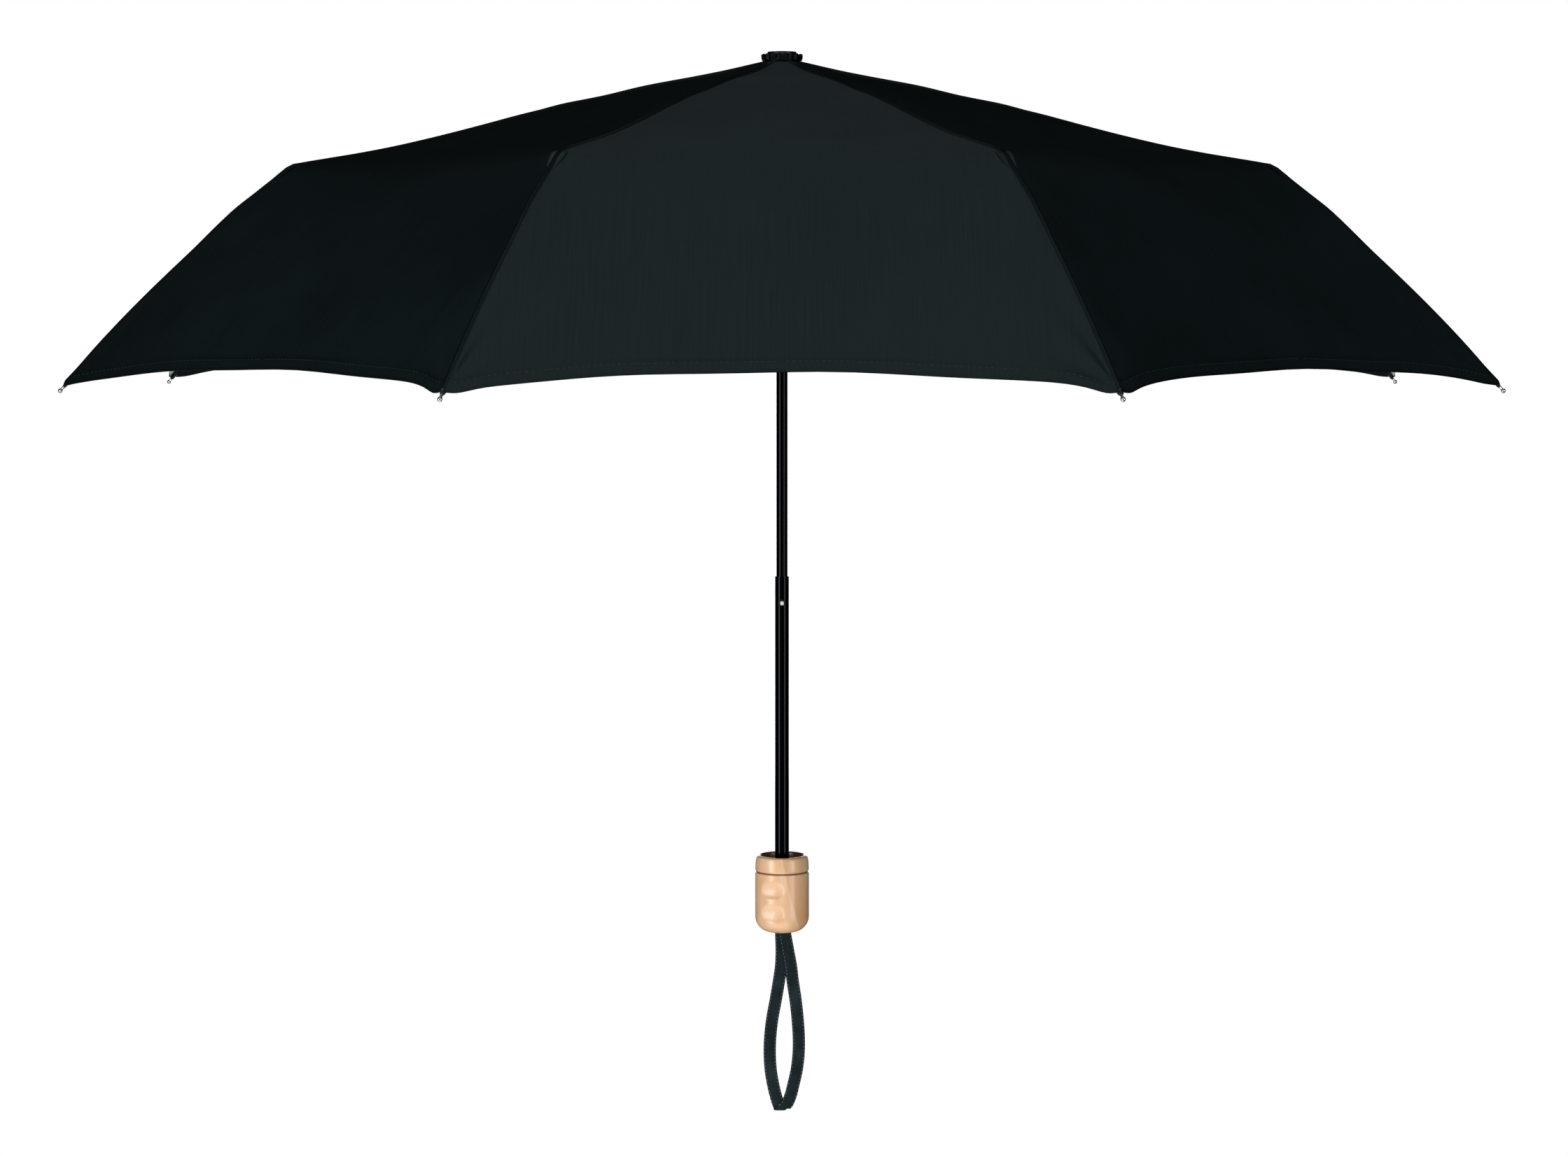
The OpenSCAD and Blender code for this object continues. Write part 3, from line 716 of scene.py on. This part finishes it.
def hem_stitches(k, side):
    """Thread along the hem, beside rib k."""
    pitch, length = 3.2 * MM, 1.9 * MM
    near = np.arange(4 * MM, CHORD * hem_r / 2 - length, pitch) / (CHORD * hem_r)
    rho = hem_radius(near) - HEM_STITCHES
    f, f_end = near, near + length / (CHORD * hem_r)
    if side < 0:
        f, f_end = 1 - f, 1 - f_end
    panel = k if side > 0 else k - 1
    normals = canopy_normal(rho, f, panel)
    starts = canopy_point(rho, f, panel)
    ends = canopy_point(hem_radius(f_end) - HEM_STITCHES, f_end, panel)
    return stitches(f"hem_thread_{k}_{'ab'[side < 0]}", starts, ends, normals, cloth_thread)


# ---------- pieces sewn to the canopy ----------


def centre_piece(k):
    """The cloth between the cap and rib k's own panels."""
    one_side = [0.03, 0.07, 0.15, 0.3, 0.5, 0.75, 1]
    near = np.array([-share for share in one_side[::-1]] + [0] + one_side) / 2
    rho = np.linspace(CENTRE_R, CENTRE_END, 12)[:, None]
    before = canopy_point(rho, 1 + np.minimum(near, 0), k - 1)
    after = canopy_point(rho, np.maximum(near, 0), k)
    outer = np.where((near < 0)[None, :, None], before, after)
    uv = np.stack(np.broadcast_arrays(rho, near * CHORD * rho), axis=-1)
    seam = np.broadcast_to(0.9 * bell(near * CHORD * rho / (1.2 * MM)), rho.shape[:1] + near.shape)
    piece = shell(f"canopy_centre_{k}", outer, outer - CLOTH * UP, cloth, uv=uv, marks={"seam": seam})
    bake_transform(piece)
    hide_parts("canopy")
    flat, area = flat_size(outer)


PAD_THICK = 0.3 * MM


def joint_pad(k):
    """A patch under the canopy that keeps the elbow and the end rib's root off the cloth."""
    share = np.linspace(0, 1, 15)[:, None]
    wide = np.linspace(-1, 1, 7)
    radius = elbow[0] + (22 * share - 3) * MM
    half_width = (1.8 + 3.2 * np.sin(math.pi * share)) * MM
    out, sideways = directions(azimuth(k))
    height = np.interp(radius, profile_r, profile_z) - 1.0 * MM - 0.25 * wide**2 * MM
    outer = radius[..., None] * out + (half_width * wide)[..., None] * sideways + height[..., None] * UP
    uv = np.stack(np.broadcast_arrays(radius, half_width * wide), axis=-1)
    piece = shell(f"joint_pad_{k}", outer, outer - PAD_THICK * UP, cloth, uv=uv)
    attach(piece, f"{ZONES['edge']['body']}{k}")
    flat, area = flat_size(outer)


def tip_pocket(k):
    """The folded cloth sleeve that holds the canopy on the rib's tip."""
    out, sideways = directions(azimuth(k))
    start_r = hem_r - 7 * MM
    start = start_r * out + (np.interp(start_r, profile_r, profile_z) - 2.7 * MM) * UP
    ball = tip[0] * out + tip[1] * UP
    along = unit(ball - start)
    over = np.cross(sideways, along)
    turn = np.linspace(0, 2 * math.pi, 20, endpoint=False)[:, None]
    fold = 1 + 0.06 * np.sin(3 * turn + k)
    rings = []
    for share in np.linspace(0, 1, 12):
        middle = start + share * (ball - 2.6 * MM * along - start)
        wide = (2.9 - 1.45 * share + 0.25 * math.sin(9 * share + k)) * MM
        high = (1.25 - 0.2 * share) * MM
        shrink = 0.55 if share in (0, 1) else 1
        rings.append(middle + shrink * fold * (wide * np.cos(turn) * sideways + high * np.sin(turn) * over))
    rings = np.array(rings)
    piece = loft(f"tip_pocket_{k}", rings, cloth, uv=rings @ np.stack([along, sideways], axis=-1))
    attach(piece, f"{ZONES['edge']['body']}{k}")
    return piece


BAND_ROWS, BAND_COLS = 13, 49
BAND_LOW, BAND_HIGH = 4 * MM, 22 * MM  # its two long edges, from the hem
BAND_THICK = 0.7 * MM


def tie_band():
    """The strap that wraps the closed umbrella, lying on the back panel above its hem."""
    low_corner, high_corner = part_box("tie_band")
    half = (high_corner[0] - low_corner[0]) / 2
    panel = round(((math.pi / 2 - azimuth(1)) / (math.pi / 4)) - 0.5) + 1
    across = np.linspace(-half, half, BAND_COLS)
    down = np.linspace(BAND_HIGH, BAND_LOW, BAND_ROWS)[:, None]
    f = 0.5 + across / (CHORD * hem_r)
    corner = np.clip(1 - (half - np.abs(across)) / (3 * MM), 0, 1)
    centre = (BAND_LOW + BAND_HIGH) / 2
    down = centre + (down - centre) * (1 - 0.3 * corner**2)
    rho = hem_radius(f) - down
    f = np.broadcast_to(f, rho.shape)
    normals = canopy_normal(rho, f, panel)
    lift = 0.35 + 0.25 * np.sin(across / half * 5.2 + 0.6) ** 2
    under = canopy_point(rho, f, panel) + normals * (lift * MM)[None, :, None]
    outer = under + normals * BAND_THICK
    uv = np.stack(np.broadcast_arrays(rho, across), axis=-1)
    row, col = np.arange(BAND_ROWS)[:, None], np.arange(BAND_COLS)
    edge = np.minimum(np.minimum(row, row[::-1]), np.minimum(col, col[::-1])) / 2.0
    band = shell("tie_band_cloth", outer, under, cloth, uv=uv, marks={"seam": 0.5 * bell(edge * 1.5)})
    inner = slice(2, -2)
    rows = outer[(2, -3), inner]
    starts = rows[:, :-1].reshape(-1, 3)
    ends = (rows[:, :-1] + 0.62 * (rows[:, 1:] - rows[:, :-1])).reshape(-1, 3)
    facing = normals[(2, -3), inner][:, :-1].reshape(-1, 3)
    thread = stitches("tie_band_thread", starts, ends, facing, cloth_thread)
    for piece in (band, thread):
        gather(piece, "edge", panel)
    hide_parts("tie_band")
    flat, area = flat_size(outer)


for k in RIBS:
    for side in (1, -1):
        for zone, facts in ZONES.items():
            name = f"canopy_{zone}_{k}_{'ab'[side < 0]}"
            piece, outer = half_panel(name, k, side, *facts["lines"], facts["rows"], facts["crowded"])
            flat, area = flat_size(outer)
            if zone == "edge":
                thread = hem_stitches(k, side)
                gather(thread, zone, k)
            if zone == "edge" and side > 0:
                tip_pocket(k)
            gather(piece, zone, k)
            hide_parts("canopy")

for k in RIBS:
    centre_piece(k)
    joint_pad(k)
tie_band()

# ---------- the cloth disc under the cap ----------


def rosette():
    """A disc gathered into pleats round its edge, darkened with painted shade."""
    low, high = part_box("cap_rosette")
    bottom, top = low[2], high[2]
    pleats, around = 18, 216
    turn = np.arange(around) / around
    saw = 2 * np.abs((turn * pleats + 0.13 * np.sin(turn * 31)) % 1 - 0.5)
    rings, marks = [], []
    outline = [(1.7, 3.6, 0), (5, 3.7, 0), (9.4, 3.8, 0), (10.9, 4.0, 0.3), (12.1, 4.5, 0.8), (12.7, 4.4, 1),
               (12.85, 3.4, 1), (12.7, 2.2, 1), (12.5, 1.0, 0.8), (12.1, 0.15, 0.5), (7, 0, 0), (1.7, 0, 0)]
    for radius, height, share in outline:
        r = (radius + share * 0.9 * (saw - 0.5)) * MM
        z = bottom + (height + share * 0.7 * (saw - 0.5) * (height > 3.8)) * MM
        x, y = r * np.cos(2 * math.pi * turn), r * np.sin(2 * math.pi * turn)
        rings.append(np.stack([x, y, np.clip(z, bottom, top + 1.2 * MM)], axis=-1))
        # Painted shade: the whole disc darker than the canopy's cloth, and darker still in each pleat's
        # hollow towards the edge.
        marks.append(0.55 + 0.4 * share * bell(saw / 0.35))
    spread = np.cumsum([0] + [math.dist(a[:2], b[:2]) * MM for a, b in zip(outline, outline[1:])])
    uv = np.stack(np.broadcast_arrays(spread[:, None], turn * 80 * MM), axis=-1)
    piece = loft("rosette_cloth", rings, cloth, marks={"seam": np.array(marks)}, uv=uv)
    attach(piece, "upper_shaft")
    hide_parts("cap_rosette")


rosette()

# ---------- handle ----------

WOOD_R = (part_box("handle")[1][0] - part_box("handle")[0][0]) / 2
HANDLE_LOW, HANDLE_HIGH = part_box("handle")[0][2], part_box("handle")[1][2]
TUBE_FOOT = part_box("lower_tube")[0][2]
BORE_R = 4.52 * MM                     # round the lower tube
CUP_R = 13.7 * MM
CUP_ROUND = 1.5 * MM
CUP_FLOOR = HANDLE_HIGH - 18 * MM
GROOVE = HANDLE_HIGH - 10.5 * MM
FOOT_ROUND = 10 * MM
SLOT = np.array([11, 3.5]) * MM / 2
DIMPLES = ((3.95 * MM, 5.55 * MM), (-11.1 * MM, 5.95 * MM))     # middle height and half height of each
DIMPLE_TURN = math.radians(-112.5)
DIMPLE_WIDTH = 8.5 * MM
DIMPLE_DEPTH = 1.35 * MM


def handle_outline():
    """Radius and height along the wood's skin, from the bore's floor over the rim and down."""
    line = [(BORE_R, TUBE_FOOT), (BORE_R, CUP_FLOOR - 0.3 * MM), (BORE_R + 0.3 * MM, CUP_FLOOR),
            (9 * MM, CUP_FLOOR), (CUP_R - CUP_ROUND, CUP_FLOOR)]
    for a in (30, 60, 90):
        a = math.radians(a)
        line.append((CUP_R - CUP_ROUND * (1 - math.sin(a)), CUP_FLOOR + CUP_ROUND * (1 - math.cos(a))))
    line += [(CUP_R, z) for z in np.linspace(CUP_FLOOR + 3 * MM, HANDLE_HIGH - 1.2 * MM, 8)]
    rim = [(0.15, -0.6), (0.5, -0.2), (1.0, 0), (1.7, -0.05), (2.4, -0.35), (2.85, -0.85), (3.1, -1.6),
           (3.3, -3), (3.45, -5), (3.55, -7), (3.6, -9.2), (3.55, -9.8), (3.3, -10.1), (3.08, -10.3),
           (3.02, -10.5), (3.08, -10.7), (3.35, -10.9), (3.6, -11.2), (3.7, -11.6)]
    line += [(CUP_R + dr * MM, HANDLE_HIGH + dz * MM) for dr, dz in rim]
    line += [(WOOD_R, z) for z in np.linspace(HANDLE_HIGH - 12.2 * MM, HANDLE_LOW + FOOT_ROUND, 52)]
    for a in np.radians(np.linspace(5, 90, 18)):
        line.append((WOOD_R - FOOT_ROUND * (1 - math.cos(a)), HANDLE_LOW + FOOT_ROUND * (1 - math.sin(a))))
    return line


def finger_dimples(turn, z):
    """How deep the finger grips are cut, round the handle at height z."""
    depth = np.zeros_like(turn)
    arc = ((turn - DIMPLE_TURN + math.pi) % (2 * math.pi) - math.pi) * WOOD_R / DIMPLE_WIDTH
    for middle, half in DIMPLES:
        inside = np.clip(1 - np.abs(arc) ** 2.4 - abs((z - middle) / half) ** 2.2, 0, 1)
        fading = 0.9 - 0.35 * np.clip(arc, -1, 1)
        depth = np.maximum(depth, inside**fading)
    return depth * DIMPLE_DEPTH


def wooden_handle():
    """The turned wood with its cup, groove, dimples and the slot in its foot."""
    around = 216
    turn = np.arange(around) / around * 2 * math.pi
    round_point = np.stack([np.cos(turn), np.sin(turn)], axis=-1)
    rings, painted_shade = [], []
    for radius, z in handle_outline():
        outside = radius > CUP_R + 3.2 * MM and z < GROOVE - 0.5 * MM
        cut = finger_dimples(turn, z) if outside else 0 * turn
        wave = 0.06 * MM * np.sin(3 * turn + 1) * (radius > CUP_R + 2 * MM)
        xy = round_point * (radius - cut + wave)[:, None]
        rings.append(np.column_stack([xy, np.full(around, z)]))
        # Painted shade: darker over the cup's inside, round the rim's inner edge and along the groove.
        in_cup = radius < CUP_R + 0.2 * MM and CUP_FLOOR - MM < z < HANDLE_HIGH - 0.5 * MM
        rim = bell((radius - CUP_R - 0.5 * MM) / (0.9 * MM)) if z > HANDLE_HIGH - MM else 0
        groove = bell((z - GROOVE) / (0.5 * MM)) if radius > CUP_R + 2 * MM else 0
        painted_shade.append(np.full(around, max(0.85 if in_cup else 0, 0.8 * rim, groove)))
    corner_round = np.sign(round_point) * np.abs(round_point) ** 0.3
    stretch = 1 / np.maximum(np.abs(corner_round[:, :1]), np.abs(corner_round[:, 1:]))
    slot_edge = corner_round * stretch * SLOT
    flat_edge = rings[-1][:, :2]
    for share, depth in [(0.35, 0), (0.7, 0), (0.95, 0), (1, 0.35), (1, 1), (1, 5), (1, 8.9)]:
        xy = flat_edge + share * (slot_edge - flat_edge)
        rings.append(np.column_stack([xy, np.full(around, HANDLE_LOW + depth * MM)]))
        # Painted shade inside the slot.
        painted_shade.append(np.full(around, 0.6 if depth > 0.5 else 0.0))
    piece = loft("handle_wood", rings, wood, marks={"painted_shade": np.array(painted_shade)})
    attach(piece, "handle_body")
    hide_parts("handle")


wooden_handle()

# ---------- floor and light ----------


FLOOR_REACH = 4.0
FLOOR_DROP = 0.45                      # from the strap's lowest point


def floor():
    """A white ground, seen from above only."""
    mesh = bpy.data.meshes.new("floor")
    far, height = FLOOR_REACH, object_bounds()[0][2] - FLOOR_DROP
    corners = [(-far, -far, height), (far, -far, height), (far, far, height), (-far, far, height)]
    mesh.from_pydata(corners, [], [(0, 1, 2, 3)])
    made = bpy.data.objects.new("floor", mesh)
    bpy.context.scene.collection.objects.link(made)
    finish = Finish("floor", Roughness=0.9)
    finish.shader.inputs["Base Color"].default_value = (0.8, 0.8, 0.8, 1)
    tree = finish.tree
    seen = finish.node("LightPath", out="Is Camera Ray")
    bright = finish.node("Emission", {"Color": (1, 1, 1, 1), "Strength": 1.0})
    both = finish.node("MixShader", {0: seen, 1: finish.shader.outputs[0], 2: bright})
    clear = finish.node("BsdfTransparent")
    below = finish.node("NewGeometry", out="Backfacing")
    one_sided = finish.node("MixShader", {0: below, 1: both, 2: clear})
    tree.links.new(one_sided, tree.nodes["Material Output"].inputs["Surface"])
    mesh.materials.append(finish.material)
    made.visible_glossy = False
    made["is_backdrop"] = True


def soft_light(name, place, aim, size, power):
    """A rectangular lamp at a place, turned to its aim."""
    data = bpy.data.lights.new(name, "AREA")
    data.shape = "RECTANGLE"
    data.size, data.size_y = size
    data.energy = power
    lamp = bpy.data.objects.new(name, data)
    lamp.location = place
    lamp.rotation_euler = (Vector(aim) - Vector(place)).to_track_quat("-Z", "Y").to_euler()
    bpy.context.scene.collection.objects.link(lamp)


def studio():
    """White where the camera looks, dim grey for everything else."""
    world = bpy.data.worlds.new("studio")
    bpy.context.scene.world = world
    world.use_nodes = True
    tree = world.node_tree
    seen = tree.nodes.new("ShaderNodeLightPath").outputs["Is Camera Ray"]
    strength = tree.nodes.new("ShaderNodeMapRange")
    strength.inputs["To Min"].default_value = 0.02
    strength.inputs["To Max"].default_value = 1.0
    tree.links.new(seen, strength.inputs["Value"])
    tree.links.new(strength.outputs["Result"], tree.nodes["Background"].inputs["Strength"])
    tree.nodes["Background"].inputs["Color"].default_value = (1, 1, 1, 1)


floor()
studio()
CANOPY_MIDDLE = (0, 0, 0.45)
soft_light("front_box", (0, -2.6, 1.5), CANOPY_MIDDLE, (1.6, 1.4), 18.5)
soft_light("top_box", (0, -0.2, 2.4), CANOPY_MIDDLE, (1.4, 1.8), 3)
soft_light("back_box", (0, 2.4, 0.25), CANOPY_MIDDLE, (1.8, 1.0), 18)
soft_light("left_box", (-1.6, -1.5, 0.1), (0, 0, 0), (0.7, 1.2), 21)
soft_light("right_box", (1.6, -1.5, 0.1), (0, 0, 0), (0.7, 1.2), 14)
soft_light("low_box", (-0.2, -0.5, -0.53), (0, 0, 0.2), (1.2, 1.0), 6)
bpy.context.scene.view_settings.view_transform = "Standard"
